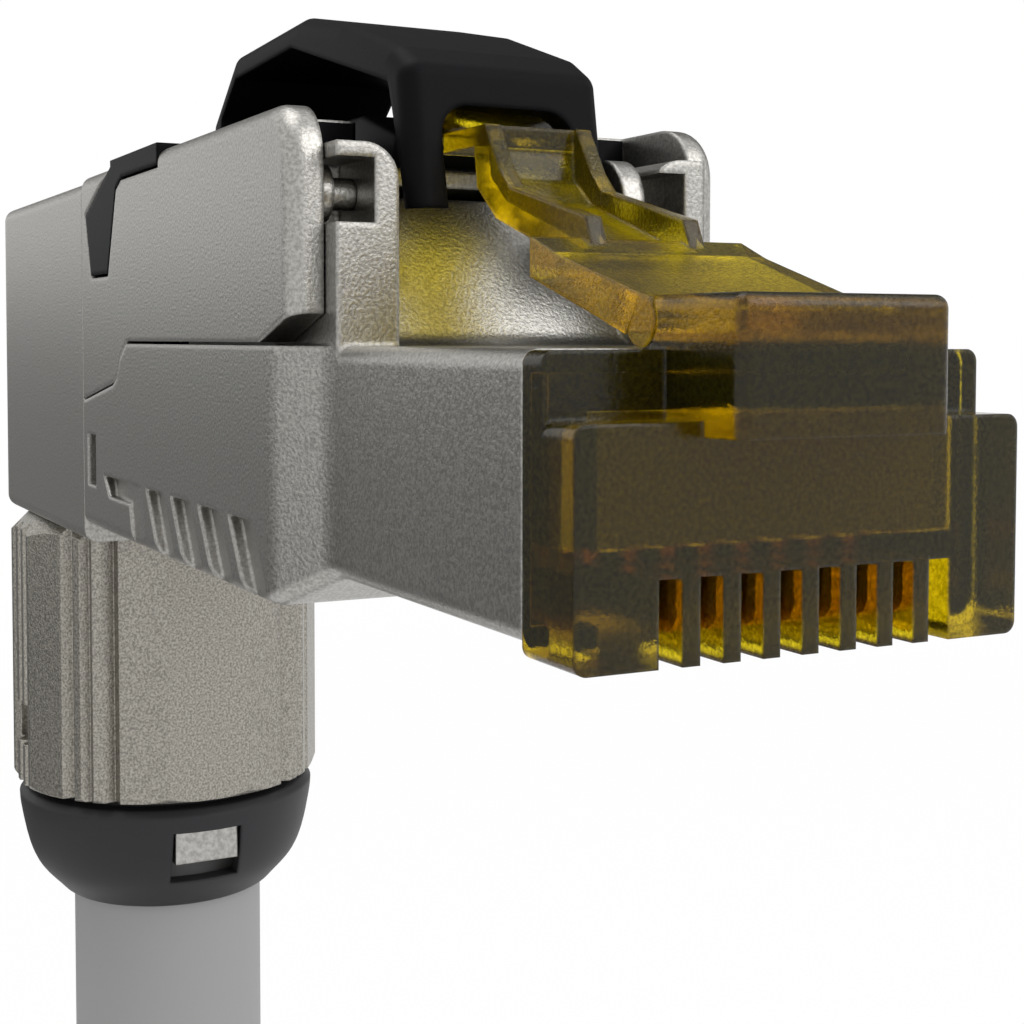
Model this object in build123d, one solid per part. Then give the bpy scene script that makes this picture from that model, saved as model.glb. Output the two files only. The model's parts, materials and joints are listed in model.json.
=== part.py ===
from build123d import *
import math
import os

# A shielded 8-position modular plug with an angled cable outlet, for wiring by hand.
# Lengths are in millimetres. X points out of the nose, Y is the width and Z points from the
# contact side up to the latch. The origin lies on the front face of the nose, in the middle
# of its width, at the level of its contact side.

# Nose, seen from the front a comb of eight slots under a plain wall.
nose_width = 11.68
nose_front_height = 5.06
nose_rear_height = 6.53
nose_step = 1.35
nose_exposed = 2.20
nose_length = 12.2
nose_corner = 0.30
comb_width = 8.80
slot_count = 8
slot_pitch = 1.016
slot_width = 0.58
slot_height = 1.85
slot_length = 6.60
slot_roof = 0.50
nose_front_wall = 1.50
cavity_height = 2.90

# Contacts, stamped strips that stand in the slots and run back to the board.
contact_thickness = 0.30
contact_setback = 0.80
contact_recess = 0.50
blade_length = 5.10
blade_height = 1.25
riser_length = 1.00
stem_level = 3.05
stem_height = 0.45
stem_overlap = 2.40
contact_bend = 0.45

# Latch, which springs from a root block on top of the nose.
block_overhang = 1.26
block_bottom = 4.73
block_top = 7.72
block_front_width = 5.50
block_corner = 0.30
latch_axis_back = 2.30
latch_axis_height = 7.16
latch_barrel_radius = 0.58
shoulder_back = 7.05
shoulder_width = 6.20
shoulder_bottom = 8.26
shoulder_top = 9.24
shoulder_hump = 1.15
shoulder_slope = 0.45
arm_width = 3.30
arm_floor = 0.50
arm_rim = 0.45
arm_underside = [(7.05, 8.45), (9.60, 9.32), (11.74, 10.03), (12.90, 10.94), (13.05, 11.90)]
arm_rim_line = [(12.35, 12.65), (11.52, 11.37), (10.92, 10.80), (6.90, 9.77), (6.50, 8.90)]
tail_back = 13.05
tail_top = 12.65
tail_hook_length = 2.40
tail_hook_thickness = 0.55
tail_bar_thickness = 0.35
tail_bar_width = 5.40

# Lower shell: the shield round the nose, the ears, the wall between them and the grips.
shield_wall = 0.45
shield_bottom = 0.24
shield_height = 6.26
neck_length = 13.30
flare_length = 2.10
flare_radius = 1.60
body_width = 13.80
body_bottom = -0.75
body_length = 37.90
shell_wall = 1.05
floor_wall = 1.10
edge_round = 0.55
shield_round = 0.45
parting_level = 6.56
parting_gap = 0.10
ear_front = 12.82
ear_inner_gap = 8.08
ear_top = 12.03
ear_round = 1.00
ear_pocket_width = 1.12
ear_pocket_height = 1.76
ear_pocket_level = 10.75
ear_pocket_depth = 2.70
dam_foot = 14.40
dam_lean = 2.70
dam_top = 10.95
dam_thickness = 0.80
dam_overlap = 0.50
dam_foot_radius = 0.80
grip_count = 4
grip_pitch = 3.13
grip_first = 19.11
stepped_grip_length = 3.03
grip_depth = 0.42
grip_rise = 2.35
grip_lean = 1.60
grip_top = 1.53
grip_ramp = 2.40
side_slot_ahead = 1.30
side_slot_length = 1.40
side_slot_height = 2.00
side_slot_level = 2.00
side_slot_depth = 0.60

# Upper shell: two side plates, a roof with a well under the hood, and pivot bosses.
plate_front = 13.69
plate_top = 13.20
plate_nose_radius = 1.60
plate_gap = 0.04
plate_chin = 7.45
plate_chin_run = 0.80
roof_front = 17.60
well_width = 7.00
well_floor = 11.90
well_floor_wall = 0.55
boss_radius = 0.80
boss_back = 14.60
boss_depth = 0.36
pin_radius = 0.45
lug_radius = 1.35
lug_thickness = 0.70
lug_arm_height = 1.00
lug_pin_radius = 0.70
lug_pin_length = 0.36

# Release hood and the saddle that it turns on.
hood_width = 6.40
hood_edge_radius = 0.25
hood_corner_radius = 0.60
hood_leg_radius = 0.60
hood_axis_ahead = 5.90
hood_axis_height = 13.95
hood_barrel_radius = 0.62
window_width = 4.30
window_top = 13.40
window_round = 0.90
saddle_clearance = 0.12
saddle_ahead = 4.70
saddle_arm_length = 6.50
saddle_top = 13.36
saddle_plate = 0.74
saddle_prong_depth = 1.00
seat_length = 2.30

# The hood's bends: near its axis measured from that axis, further on from the nose.
hood_rear_top = [(-0.60, 0.00), (-0.53, 0.94), (2.23, 3.10)]
hood_front_top = [
    (23.00, 17.24), (19.49, 16.46), (15.54, 15.16), (14.47, 14.52), (14.01, 11.88), (13.68, 10.41)
]
hood_front_under = [(14.34, 10.39), (14.85, 12.16), (15.55, 14.14), (23.69, 16.35)]
hood_rear_under = [(2.44, 2.21), (0.73, 0.94), (0.60, 0.00)]

# The saddle's prong, and the drop of the line between the shells, both as the distance ahead
# of the seam with the rear cap, then the height or the drop.
prong_outline = [
    (1.50, 9.20), (4.15, 9.20), (5.47, 12.30), (6.30, 12.62), (6.88, 13.36), (5.30, 13.36), (0.62, 11.56)
]
parting_steps = [(6.85, 0.00), (5.95, 0.53), (5.46, 1.27), (4.84, 1.55), (0.00, 2.30)]

# Rear cap, with the threaded spigot for the clamp nut under it.
cap_seam = 0.05
cap_length = 20.15
cap_bottom = -1.45
cap_top = 13.00
cap_corner = 4.10
cap_wall = 1.10
tongue_length = 1.60
tongue_wall = 0.80
outlet_behind = 13.10
spigot_radius = 5.75
spigot_bore = 4.85
spigot_length = 10.20

# Clamp nut with twelve sides, and the bowl-shaped collar that it carries.
nut_circumradius = 7.30
nut_sides = 12
nut_top_gap = 0.05
nut_height = 12.83
nut_running_clearance = 0.07
nut_top_chamfer = 0.90
nut_bottom_chamfer = 0.25
nut_lip_height = 1.10
nut_lip_radius = 6.05
nut_chamber_height = 1.30
nut_chamber_radius = 6.50
flute_depth = 0.42
flute_width = 0.75
flute_spacing_deg = 9.3
flute_overcut = 0.20
wrench_slot_width = 2.60
wrench_slot_height = 1.90
wrench_slot_depth = 0.60
wrench_slot_level = -11.45
collar_gap = 0.40
collar_radius = 7.03
collar_depth = 5.07
collar_rim_round = 0.30
collar_lip_radius = 4.62
collar_lip_width = 0.15
collar_lip_height = 0.40
collar_wall = 1.15
collar_shoulder = 1.00
collar_cone_top = 2.69
collar_clearance = 0.10
collar_window_width = 3.20
collar_window_top = 1.05
collar_window_height = 2.45
ridge_height = 0.90
ridge_slope = 0.28
tooth_height = 1.50
tooth_width = 2.90
tooth_thickness = 0.35
tooth_setback = 0.45

# The bowl of the collar, as shares of its radius and of its depth.
collar_bowl = [(0.986, 0.231), (0.947, 0.487), (0.868, 0.744), (0.740, 0.941)]

# Cable and the pieces that grip and seal it.
cable_radius = 4.50
cable_length = 60.0
jacket_wall = 0.75
fit = 0.02
braid_wall = 0.20
braid_length = 6.0
jacket_end_level = -0.50
seal_length = 3.00
clamp_flange = 0.50
clamp_finger_length = 3.20
clamp_finger_wall = 0.42
clamp_finger_count = 8
clamp_slit = 0.60
clamp_slit_end = 0.40
clamp_flange_gap = 0.15
clamp_collar_gap = 0.22
pair_radius = 1.40
pair_spread = 1.50
pair_end_level = 1.20
wire_radius = 0.55
wire_bend = 1.60
wire_lead_in = 4.00

# Board, terminals and the wire manager.
board_thickness = 0.80
board_width = 10.40
board_end = 31.00
terminal_block_front = 18.70
terminal_block_length = 9.20
terminal_block_height = 3.70
terminal_block_width = 11.00
terminal_pitch = 2.54
terminal_thickness = 0.40
terminal_width = 1.60
terminal_recess = 0.20
terminal_fork_width = 0.32
terminal_fork_depth = 1.10
wire_slot_length = 2.00
wire_slot_width = 0.90
wire_slot_depth = 1.30
manager_height = 2.80
manager_length = 10.20
manager_channel_rise = 1.45
manager_channel_clearance = 0.10
manager_front_wall = 1.20

# The cable outlet's axis, which several shapes are turned on.
cap_front = body_length + cap_seam
outlet_back = cap_front + outlet_behind


def slab(x_low, x_high, y_low, y_high, z_low, z_high):
    """A box between two values on each axis."""
    size = (x_high - x_low, y_high - y_low, z_high - z_low)
    middle = ((x_low + x_high) / 2, (y_low + y_high) / 2, (z_low + z_high) / 2)
    return Pos(*middle) * Box(*size)


def side_prism(points, y_low, y_high):
    """An outline in x and z, pulled from one y to another."""
    outline = Polyline(*[(x, y_low, z) for x, z in points], close=True)
    return extrude(make_face(outline), amount=y_high - y_low, dir=(0, 1, 0))


def plan_prism(points, z_low, z_high):
    """An outline in x and y, pulled from one z to another."""
    outline = Polyline(*[(x, y, z_low) for x, y in points], close=True)
    return extrude(make_face(outline), amount=z_high - z_low, dir=(0, 0, 1))


def cross_rod(x, z, radius, y_low, y_high):
    """A round rod across the width."""
    return Pos(x, (y_low + y_high) / 2, z) * Rot(90, 0, 0) * Cylinder(radius, y_high - y_low)


def upright(radius, z_low, z_high, x=-outlet_back, y=0.0):
    """A round post, by default on the axis of the cable outlet."""
    return Pos(x, y, (z_low + z_high) / 2) * Cylinder(radius, z_high - z_low)


def turned(points):
    """A ring turned on the axis of the cable outlet, from radius and height."""
    face = make_face(Plane.XZ * Polyline(*points, close=True))
    return Pos(-outlet_back, 0, 0) * revolve(face, axis=Axis.Z)


def both_sides(solid):
    """A solid and its mirror image in the middle plane."""
    return solid + mirror(solid, about=Plane.XZ)


def contact_places():
    """The y of each contact, from one side to the other."""
    middle = (slot_count - 1) / 2
    return [(number - middle) * slot_pitch for number in range(slot_count)]


# Levels and stations that several pieces share.
nose_half = nose_width / 2
shield_top = shield_bottom + shield_height
core_half = nose_half - shield_wall - fit
core_bottom = shield_bottom + shield_wall + fit
core_top = shield_top - shield_wall - fit
cavity_bottom = slot_height + slot_roof
cavity_top = cavity_bottom + cavity_height
cavity_half = (comb_width + slot_width) / 2
body_half = body_width / 2
flare_end = neck_length + flare_length
body_inner = body_half - shell_wall
body_floor = body_bottom + floor_wall
board_bottom = stem_level + stem_height
board_top = board_bottom + board_thickness
roof_bottom = well_floor - well_floor_wall
hood_axis_back = body_length - hood_axis_ahead
saddle_back = body_length - saddle_ahead
well_end = saddle_back - seat_length
cap_back = cap_front + cap_length
spigot_end = cap_bottom - spigot_length
nut_top = cap_bottom - nut_top_gap
nut_bottom = nut_top - nut_height
collar_top = nut_bottom - collar_gap
collar_bottom = collar_top - collar_depth
block_end_width = block_front_width + (shoulder_width - block_front_width) * (
    block_overhang + latch_axis_back
) / (block_overhang + shoulder_back)


def nose_insulator():
    """Comb, core, cavity and the root block of the latch, in one moulding."""
    low_part = slab(-nose_step, 0, -nose_half, nose_half, 0, nose_front_height)
    high_part = slab(-nose_exposed, -nose_step, -nose_half, nose_half, 0, nose_rear_height)
    front = low_part + high_part
    front = fillet(front.edges().filter_by(Axis.X), nose_corner)
    core = slab(-nose_length, -nose_exposed, -core_half, core_half, core_bottom, core_top)
    comb_half = comb_width / 2
    comb_back = slot_length + slot_roof
    comb = slab(-comb_back, -nose_exposed, -comb_half, comb_half, 0, core_bottom)
    body = front + core + comb + root_block()
    for place in contact_places():
        half = slot_width / 2
        body -= slab(-slot_length, nose_step, place - half, place + half, -slot_height, slot_height)
        well_front = contact_setback + blade_length - riser_length - fit
        body -= slab(-slot_length, -well_front, place - half, place + half, 0, cavity_bottom + fit)
    body -= slab(
        -nose_length - 1, -nose_front_wall, -cavity_half, cavity_half, cavity_bottom, cavity_top
    )
    return body


def root_block():
    """The block that carries the latch, hollowed at the back for its barrel."""
    front_half = block_front_width / 2
    end_half = block_end_width / 2
    plan = [
        (block_overhang, -front_half),
        (block_overhang, front_half),
        (-latch_axis_back, end_half),
        (-latch_axis_back, -end_half),
    ]
    block = plan_prism(plan, block_bottom, block_top)
    block = fillet(block.edges().group_by(Axis.X)[-1].filter_by(Axis.Z), block_corner)
    top_edges = block.edges().group_by(Axis.X)[-1].filter_by(Axis.Y)
    block = fillet(top_edges.sort_by(Axis.Z)[-1], block_corner)
    socket = cross_rod(
        -latch_axis_back, latch_axis_height, latch_barrel_radius + fit, -end_half - 1, end_half + 1
    )
    behind = slab(
        -latch_axis_back - 1, -nose_exposed, -end_half - 1, end_half + 1, 0, parting_level + fit
    )
    return block - socket - behind


def contact(place):
    """One contact strip: a blade in its slot, a riser and a stem under the board."""
    front = -contact_setback
    riser_front = front - blade_length + riser_length
    riser_back = front - blade_length
    stem_end = -nose_length - stem_overlap
    blade_top = contact_recess + blade_height
    stem_top = stem_level + stem_height
    points = [
        (front, contact_recess),
        (front, blade_top),
        (riser_front, blade_top),
        (riser_front, stem_top),
        (stem_end, stem_top),
        (stem_end, stem_level),
        (riser_back, stem_level),
        (riser_back, contact_recess),
    ]
    half = contact_thickness / 2
    strip = side_prism(points, place - half, place + half)
    foot_edges = strip.edges().filter_by(Axis.Y).group_by(Axis.Z)[0]
    return fillet(foot_edges, contact_bend)


def contact_carrier():
    """The block in the cavity of the nose that holds the stems apart."""
    front = nose_front_wall + 0.50
    half = cavity_half - fit
    low = cavity_bottom + fit
    high = cavity_top - fit
    carrier = slab(-nose_length + fit, -front, -half, half, low, high)
    groove_half = contact_thickness / 2 + fit
    groove_front = contact_setback + blade_length - riser_length - fit
    groove_top = stem_level + stem_height + fit
    for place in contact_places():
        carrier -= slab(
            -nose_length - 1, -groove_front, place - groove_half, place + groove_half, low - 1, groove_top
        )
    return carrier


def latch():
    """Barrel, shoulders, channelled arm and the hooked tail."""
    axis_x = -latch_axis_back
    end_half = block_end_width / 2
    barrel = cross_rod(axis_x, latch_axis_height, latch_barrel_radius, -end_half, end_half)
    tip_half = shoulder_width / 2
    shoulder_plan = [
        (axis_x, -end_half),
        (axis_x, end_half),
        (-shoulder_back, tip_half),
        (-shoulder_back, -tip_half),
    ]
    root_top = latch_axis_height + latch_barrel_radius
    root_bottom = latch_axis_height - latch_barrel_radius / 2
    hump_x = -shoulder_back + shoulder_hump
    shoulder_side = [
        (axis_x, root_top),
        (axis_x - latch_barrel_radius, root_bottom),
        (-shoulder_back, shoulder_bottom),
        (-shoulder_back, shoulder_top),
        (hump_x, shoulder_top - shoulder_slope),
    ]
    shoulders = side_prism(shoulder_side, -tip_half, tip_half)
    shoulders = shoulders & plan_prism(shoulder_plan, latch_axis_height - 2, shoulder_top + 1)
    arm = latch_arm()
    return barrel + shoulders + arm


def latch_arm():
    """The channel, open to the top, that bends up into the tail, and the hook on the tail."""
    half = arm_width / 2
    underside = [(-back, level) for back, level in arm_underside] + [(-tail_back, tail_top)]
    outline = underside + [(-back, level) for back, level in arm_rim_line]
    floor_face = make_face(offset(Polyline(*underside), arm_floor, side=Side.RIGHT, closed=True))
    floor = extrude(Plane.XZ * floor_face, amount=half, both=True)
    inner = half - arm_rim
    arm = side_prism(outline, -half, half) - (side_prism(outline, -inner, inner) - floor)
    hook_bottom = tail_top - tail_hook_thickness
    hook_back = -tail_back - tail_hook_length
    hook = slab(hook_back, -tail_back + arm_floor, -half, half, hook_bottom, tail_top)
    bar_half = tail_bar_width / 2
    bar = slab(hook_back, hook_back + tail_bar_thickness, -bar_half, bar_half, hook_bottom, tail_top)
    return arm + hook + bar


def body_outline(front, bottom_level):
    """The outer solid of the shell: a narrow neck that flares to the full width and depth."""
    top = parting_level
    plan_points = [
        (-front, nose_half),
        (-neck_length, nose_half),
        (-flare_end, body_half),
        (-body_length, body_half),
    ]
    plan_edge = FilletPolyline(*plan_points, radius=flare_radius)
    mirrored = mirror(plan_edge, about=Plane.XZ)
    front_edge = Line((-front, -nose_half), (-front, nose_half))
    back_edge = Line((-body_length, -body_half), (-body_length, body_half))
    plan_face = make_face(plan_edge + mirrored + front_edge + back_edge)
    plan = Pos(0, 0, bottom_level - 1) * extrude(plan_face, amount=top - bottom_level + 1)
    side_edge = FilletPolyline(
        (-front, shield_bottom),
        (-neck_length, shield_bottom),
        (-flare_end, bottom_level),
        (-body_length, bottom_level),
        radius=flare_radius,
    )
    side_rest = Polyline(
        (-front, shield_bottom), (-front, top), (-body_length, top), (-body_length, bottom_level)
    )
    side_face = make_face(side_edge + side_rest)
    side = extrude(Plane.XZ * side_face, amount=body_half + 1, both=True)
    return plan & side


def parting_line(shift):
    """The rear part of the line between the shells, which drops in a step towards the cap."""
    return [(ahead - body_length, parting_level - drop + shift) for ahead, drop in parting_steps]


def lower_shell():
    """The shield, ears, wall and gripped tray in one casting."""
    shell = body_outline(nose_exposed, body_bottom)
    rear_step = parting_line(0)
    above = parting_level + 1
    behind = -body_length - 1
    step_cut = rear_step + [(behind, rear_step[-1][1]), (behind, above), (rear_step[0][0], above)]
    shell -= side_prism(step_cut, -body_half - 1, body_half + 1)
    low_edges = shell.edges().filter_by(
        lambda edge: edge.center().Z < shield_bottom + 0.1 and abs(edge.center().Y) > nose_half - 0.1
    )
    shell = fillet(low_edges, edge_round)
    shell -= shield_rounding()
    ear_inner = ear_inner_gap / 2
    near_ear = ear(nose_half - ear_pocket_width, nose_half + 1)
    far_ear = ear(ear_inner - 1, ear_inner + ear_pocket_width)
    shell += dam() + far_ear + mirror(near_ear, about=Plane.XZ)
    shell -= slab(
        -dam_foot - dam_lean - dam_thickness - 1, 1, -core_half - fit, core_half + fit,
        core_bottom - fit, core_top + fit,
    )
    shell -= slab(
        -body_length - 1, -roof_front, -body_inner, body_inner, body_floor, parting_level + 1
    )
    comb_half = comb_width / 2 + fit
    comb_back = slot_length + slot_roof + fit
    shell -= slab(-comb_back, 1, -comb_half, comb_half, -1, core_bottom)
    return shell - grips() - side_slots()


def shield_rounding():
    """What the rounded top edges of the shield leave out, as far back as the ears."""
    low_y = nose_half - shield_round
    low_z = parting_level - shield_round
    corner = slab(-ear_front, 0, low_y, nose_half + 1, low_z, parting_level + 1)
    along = Pos(-ear_front / 2, low_y, low_z) * Rot(0, 90, 0) * Cylinder(shield_round, ear_front + 2)
    return both_sides(corner - along)


def dam():
    """The leaning wall between the ears, with a blend at its foot."""
    half = ear_inner_gap / 2
    bottom = shield_top - shield_wall
    back = dam_foot + dam_lean + dam_thickness
    points = [
        (-dam_foot + 2 * dam_foot_radius, bottom),
        (-dam_foot + 2 * dam_foot_radius, parting_level),
        (-dam_foot, parting_level),
        (-dam_foot - dam_lean, dam_top),
        (-back, dam_top),
        (-back, bottom),
    ]
    wall = side_prism(points, -half - dam_overlap, half + dam_overlap)
    foot = wall.edges().filter_by(Axis.Y).sort_by_distance((-dam_foot, 0, parting_level))[0]
    return fillet(foot, dam_foot_radius)


def ear(pocket_start, pocket_end):
    """One upright ear with a pocket, open to the front, for a pivot of the upper shell."""
    inner = ear_inner_gap / 2
    back = dam_foot + dam_lean + dam_thickness
    solid = slab(-back, -ear_front, inner, nose_half, shield_top - shield_wall, ear_top)
    solid -= slab(-back - 1, -back + dam_thickness, inner - 1, nose_half + 1, dam_top, ear_top + 1)
    top_inner = solid.edges().filter_by(Axis.X).filter_by(
        lambda edge: edge.center().Z > ear_top - 0.01 and edge.center().Y < inner + 0.01
    )
    solid = fillet(top_inner, ear_round)
    pocket_low = ear_pocket_level - ear_pocket_height / 2
    solid -= slab(
        -ear_front - ear_pocket_depth, 1, pocket_start, pocket_end,
        pocket_low, pocket_low + ear_pocket_height,
    )
    return solid


def grips():
    """Saw-tooth grooves in both flanks, each with a steep wall and a long ramp."""
    lean = Vector(grip_lean, 0, -grip_rise)
    surface = body_half + fit
    low = body_half - grip_depth
    cuts = Part()
    for number in range(grip_count):
        wall_x = -grip_first - number * grip_pitch
        section = [
            (wall_x, surface, grip_top),
            (wall_x, low, grip_top),
            (wall_x + grip_ramp, surface, grip_top),
        ]
        face = make_face(Polyline(*section, close=True))
        cuts += both_sides(extrude(face, amount=lean.length * 1.2, dir=lean))
    last_wall = -grip_first - grip_count * grip_pitch
    step_level = grip_top / 2
    region = [
        (last_wall - stepped_grip_length, grip_top),
        (last_wall - stepped_grip_length + grip_lean / 2, step_level),
        (last_wall + grip_lean / 2, step_level),
        (last_wall + grip_lean, body_bottom - 1),
        (last_wall + grip_ramp + grip_lean, body_bottom - 1),
        (last_wall + grip_ramp, grip_top),
    ]
    ramp = [
        (last_wall - stepped_grip_length, low),
        (last_wall - stepped_grip_length, surface),
        (last_wall + grip_ramp + grip_lean / 2, surface),
    ]
    stepped = side_prism(region, 0, body_half + 1) & plan_prism(ramp, body_bottom - 1, grip_top + 1)
    return cuts + both_sides(stepped)


def side_slots():
    """The short upright recess near the seam, in both flanks."""
    half_length = side_slot_length / 2
    half_height = side_slot_height / 2
    middle = side_slot_ahead - body_length
    cut = slab(
        middle - half_length, middle + half_length,
        body_half - side_slot_depth, body_half + 1,
        side_slot_level - half_height, side_slot_level + half_height,
    )
    return both_sides(cut)


def upper_shell():
    """Roof and side plates, open at the front, with the pivots that sit in the ears."""
    top = plate_top
    outline = [
        (-plate_front, plate_chin),
        (-plate_front, top),
        (-body_length, top),
        *reversed(parting_line(parting_gap)),
        (-flare_end - plate_chin_run, parting_level + parting_gap),
    ]
    shell = side_prism(outline, -body_half, body_half)
    nose_edge = shell.edges().filter_by(Axis.Y).filter_by(
        lambda edge: edge.center().X > -plate_front - 0.1 and edge.center().Z > top - 0.1
    )
    shell = fillet(nose_edge, plate_nose_radius)
    rounded = shell.edges().filter_by(
        lambda edge: abs(edge.center().Y) > body_half - 0.01
        and (edge.center().Z > plate_chin + 1 and edge.center().X > -body_length + 0.1)
    )
    shell = fillet(rounded, edge_round)
    inner = nose_half + plate_gap
    shell -= slab(-roof_front, 1, -inner, inner, 0, top + 1)
    shell -= slab(-body_length - 1, -roof_front + 1, -body_inner, body_inner, 0, roof_bottom)
    well_half = well_width / 2
    shell -= slab(-well_end, 1, -well_half, well_half, well_floor, top + 1)
    shell -= saddle_outline(saddle_clearance)
    return shell + mirror(pivot_boss(), about=Plane.XZ) + pivot_lug()


def pivot_boss():
    """The boss and pin inside a side plate that the shell swings on while it is open."""
    face = nose_half + plate_gap
    boss = cross_rod(-boss_back, ear_pocket_level, boss_radius, face - boss_depth, face + 0.1)
    pin_end = nose_half - ear_pocket_width + fit
    return boss + cross_rod(-boss_back, ear_pocket_level, pin_radius, pin_end, face)


def pivot_lug():
    """The round-ended arm beside the far ear, with a pin that reaches into the ear's pocket."""
    outer = ear_inner_gap / 2 - fit
    inner = outer - lug_thickness
    top = ear_pocket_level + lug_radius
    arm = slab(-roof_front - fit, -boss_back, inner, outer, top - lug_arm_height, top)
    disc = cross_rod(-boss_back, ear_pocket_level, lug_radius, inner, outer)
    return arm + disc + cross_rod(-boss_back, ear_pocket_level, lug_pin_radius, inner, outer + lug_pin_length)


def saddle_outline(grow):
    """The saddle as a solid, or with a clearance the notch that it lies in."""
    side = body_half + grow
    plate = slab(
        -saddle_back - grow, saddle_arm_length - saddle_back + grow, -side, side,
        saddle_top - saddle_plate - grow, saddle_top + grow,
    )
    points = [(ahead - body_length, level) for ahead, level in prong_outline]
    prong_face = make_face(Polyline(*points, close=True))
    if grow > 0:
        prong_face = offset(prong_face, grow, kind=Kind.INTERSECTION)
    prong_inner = body_half - saddle_prong_depth - grow
    prong = Pos(0, prong_inner, 0) * extrude(Plane.XZ * prong_face, amount=prong_inner - side)
    whole = plate + both_sides(prong)
    if grow == 0:
        whole -= slab(-well_end, 0, -well_width / 2, well_width / 2, 0, saddle_top + 1)
    return whole


def hood_saddle():
    """The bracket across the roof, with a prong in each flank and the seat of the hood's barrel."""
    half = hood_width / 2
    seat = slab(-saddle_back, -well_end, -half, half, saddle_top - saddle_plate, hood_axis_height)
    groove = cross_rod(
        -hood_axis_back, hood_axis_height, hood_barrel_radius + fit, -half - 1, half + 1
    )
    return saddle_outline(0) + seat - groove


def release_hood():
    """The bent strip over the latch tail, with a window in its front leg."""
    rear_top = [(ahead - hood_axis_back, hood_axis_height + rise) for ahead, rise in hood_rear_top]
    rear_under = [(ahead - hood_axis_back, hood_axis_height + rise) for ahead, rise in hood_rear_under]
    front = [(-back, level) for back, level in hood_front_top + hood_front_under]
    half = hood_width / 2
    strip = side_prism(rear_top + front + rear_under, -half, half)
    bends = strip.edges().filter_by(Axis.Y).filter_by(lambda edge: edge.center().Z > hood_axis_height + 0.01)
    corner = bends.sort_by(Axis.X)[-1]
    strip = fillet(corner, hood_corner_radius)
    bends = strip.edges().filter_by(Axis.Y).filter_by(lambda edge: edge.center().X < corner.center().X - 0.5)
    bends = bends.filter_by(lambda edge: edge.center().Z > hood_axis_height + 0.01)
    strip = fillet(bends, hood_edge_radius)
    leg_front = corner.center().X
    leg_sides = strip.edges().filter_by(
        lambda edge: edge.center().X > leg_front + 0.05 and abs(edge.center().Y) > half - 0.01
    )
    strip = fillet(leg_sides.filter_by(lambda edge: edge.length > 1), hood_leg_radius)
    window_half = window_width / 2
    window = slab(leg_front - 1.2, 0, -window_half, window_half, 0, window_top)
    top_edges = window.edges().filter_by(Axis.X).group_by(Axis.Z)[-1]
    window = fillet(top_edges, window_round)
    barrel = cross_rod(-hood_axis_back, hood_axis_height, hood_barrel_radius, -half, half)
    return strip - window + barrel


def rear_cap():
    """The hollow elbow behind the shells, with a tongue into them and the spigot below."""
    outer = slab(-cap_back, -cap_front, -body_half, body_half, cap_bottom, cap_top)
    rear = outer.edges().filter_by(Axis.Z).group_by(Axis.X)[0]
    outer = fillet(rear, cap_corner)
    around = outer.edges().filter_by(lambda edge: abs(edge.center().Z - cap_top) < 0.01)
    around = around.filter_by(lambda edge: edge.center().X < -cap_front - 0.01)
    outer = fillet(around, edge_round)
    low_edge = outer.edges().filter_by(lambda edge: abs(edge.center().Z - cap_bottom) < 0.01)
    low_edge = low_edge.filter_by(lambda edge: edge.center().X < -cap_front - 0.01)
    outer = fillet(low_edge, edge_round)
    inner_half = body_half - cap_wall
    chamber = slab(
        -cap_back + cap_wall, -cap_front + 1, -inner_half, inner_half, body_floor, roof_bottom - fit
    )
    rear_inner = chamber.edges().filter_by(Axis.Z).group_by(Axis.X)[0]
    chamber = fillet(rear_inner, cap_corner - cap_wall)
    cap = outer + upright(spigot_radius, spigot_end, cap_bottom + cap_wall) + tongue()
    return cap - chamber - upright(spigot_bore, spigot_end - 1, body_floor + 1)


def tongue():
    """The collar of the cap that reaches into the two shells."""
    outer_half = body_inner - fit
    inner_half = outer_half - tongue_wall
    low = body_floor + fit
    high = roof_bottom - fit
    outer = slab(-cap_front, -cap_front + tongue_length, -outer_half, outer_half, low, high)
    inner = slab(
        -cap_front - 1, -cap_front + tongue_length + 1, -inner_half, inner_half,
        low + tongue_wall, high - tongue_wall,
    )
    return outer - inner


def circuit_board():
    """The board that joins the contacts to the terminals."""
    half = board_width / 2
    return slab(-board_end, -nose_length, -half, half, board_bottom, board_top)


def terminal_places():
    """The x and y of each insulation-piercing terminal, in two rows of four."""
    middle = terminal_block_front + terminal_block_length / 2
    rows = (-middle + terminal_pitch, -middle - terminal_pitch)
    return [(x, (number - 1.5) * terminal_pitch) for x in rows for number in range(4)]


def terminal_block():
    """The slotted block on the board that holds the terminals upright."""
    half = terminal_block_width / 2
    back = terminal_block_front + terminal_block_length
    top = board_top + terminal_block_height
    body = slab(-back, -terminal_block_front, -half, half, board_top, top)
    slot_half = terminal_thickness / 2 + fit
    for x, y in terminal_places():
        reach = terminal_width / 2 + fit
        body -= slab(x - slot_half, x + slot_half, y - reach, y + reach, board_top - 1, top + 1)
        along = wire_slot_length / 2
        across = wire_slot_width / 2
        body -= slab(x - along, x + along, y - across, y + across, top - wire_slot_depth, top + 1)
    return body


def terminals():
    """Forked blades, one for each wire."""
    blades = []
    half = terminal_thickness / 2
    reach = terminal_width / 2
    fork = terminal_fork_width / 2
    top = board_top + terminal_block_height - terminal_recess
    for x, y in terminal_places():
        blade = slab(x - half, x + half, y - reach, y + reach, board_top, top)
        blades.append(blade - slab(x - 1, x + 1, y - fork, y + fork, top - terminal_fork_depth, top + 1))
    return Compound(children=blades)


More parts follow.
